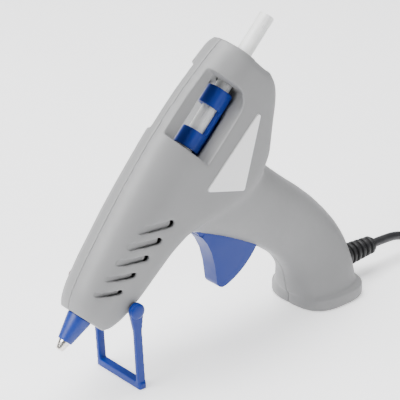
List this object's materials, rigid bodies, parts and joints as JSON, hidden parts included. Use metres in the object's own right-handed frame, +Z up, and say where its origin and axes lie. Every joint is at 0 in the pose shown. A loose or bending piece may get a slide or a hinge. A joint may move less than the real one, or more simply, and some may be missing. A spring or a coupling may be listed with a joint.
{
  "type": "glue gun",
  "caption": "Corded hot melt glue gun with a pistol grip, window round the glue stick, trigger feed, folding wire-style stand and a flat foot",
  "frame": {"origin": "middle of the foot's sole, on the surface that the gun stands on", "axes": "+X runs from the nozzle towards the cord, +Z is up, -Y is the gun's left flank"},
  "size_m": [0.4665, 0.0943, 0.2377],
  "materials": {
    "shell_grey": "fine spark-eroded matt, mid grey",
    "accent_blue": "satin moulded, strong blue",
    "boot_blue": "silicone, satin blue",
    "label_white": "blank plate, satin off-white",
    "glue_clear": "hot melt glue, cloudy translucent white",
    "steel": "zinc plated",
    "aluminium": "die cast",
    "tip_metal": "turned and nickel plated",
    "ceramic_dark": "sintered, matt",
    "phenolic": "moulded phenolic",
    "silicone_red": "extruded silicone",
    "black_rubber": "satin black",
    "black_plastic": "fine matt black",
    "lamp_dark": "smoked clear, dark",
    "terminal": "moulded nylon, ivory",
    "wire_brown": "silicone insulation, brown",
    "wire_blue": "silicone insulation, blue"
  },
  "bodies": {
    "body": {"left_shell": "shell_grey", "right_shell": "shell_grey", "shell_screws": "steel", "left_label": "label_white", "right_label": "label_white", "pilot_lamp": "lamp_dark", "nozzle_tip": "tip_metal", "check_ball": "steel", "ball_spring": "steel", "nozzle_boot": "boot_blue", "heat_chamber": "aluminium", "ptc_heater": "ceramic_dark", "heater_wedge": "aluminium", "front_mount": "phenolic", "rear_mount": "phenolic", "feed_sleeve": "silicone_red", "sleeve_clamp": "steel", "inlet_guide": "black_plastic", "trigger_pin": "steel", "return_spring": "steel", "spring_post": "steel", "strain_relief": "black_rubber", "cord_clamp": "black_plastic", "clamp_screws": "steel", "terminal_block": "terminal", "live_wire": "wire_brown", "neutral_wire": "wire_blue", "cord_end": "black_rubber", "core_wires": "wire_brown", "cord_lead": "black_rubber", "cord_coil": "black_rubber", "coil_tie": "black_plastic", "cord_tail": "black_rubber", "plug_body": "black_rubber", "plug_pins": "tip_metal"},
    "carriage": {"carriage": "accent_blue", "jaw_pin": "steel"},
    "clamp_jaw": {"clamp_jaw": "steel"},
    "trigger": {"trigger": "accent_blue"},
    "stand": {"stand": "accent_blue"},
    "glue_stick": {"glue_stick": "glue_clear"}
  },
  "joints": [
    {"name": "trigger_pull", "type": "hinge", "parent": "body", "child": "trigger", "pos_m": [-0.116, 0, 0.096], "axis": [0, -1, 0], "range_deg": [0, 25], "stiffness_Nm_per_rad": 0.6, "springref_deg": -14.32},
    {"name": "carriage_slide", "type": "slide", "parent": "body", "child": "carriage", "axis": [-0.6947, 0, -0.7193], "range_m": [0, 0.0129], "deforming": ["return_spring"]},
    {"name": "jaw_bite", "type": "hinge", "parent": "carriage", "child": "clamp_jaw", "pos_m": [-0.10711, 0, 0.16145], "axis": [0, 1, 0], "range_deg": [0, 2.6]},
    {"name": "stick_slide", "type": "slide", "parent": "carriage", "child": "glue_stick", "axis": [0.6947, 0, 0.7193], "range_m": [0, 0.17]},
    {"name": "stand_fold", "type": "hinge", "parent": "body", "child": "stand", "pos_m": [-0.192, 0, 0.062], "axis": [0, -1, 0], "range_deg": [0, 110]}
  ],
  "couplings": [
    {"joint": "carriage_slide", "follows": "trigger_pull", "m_per_rad": 0.029465},
    {"joint": "jaw_bite", "follows": "trigger_pull", "ratio": 0.1}
  ]
}
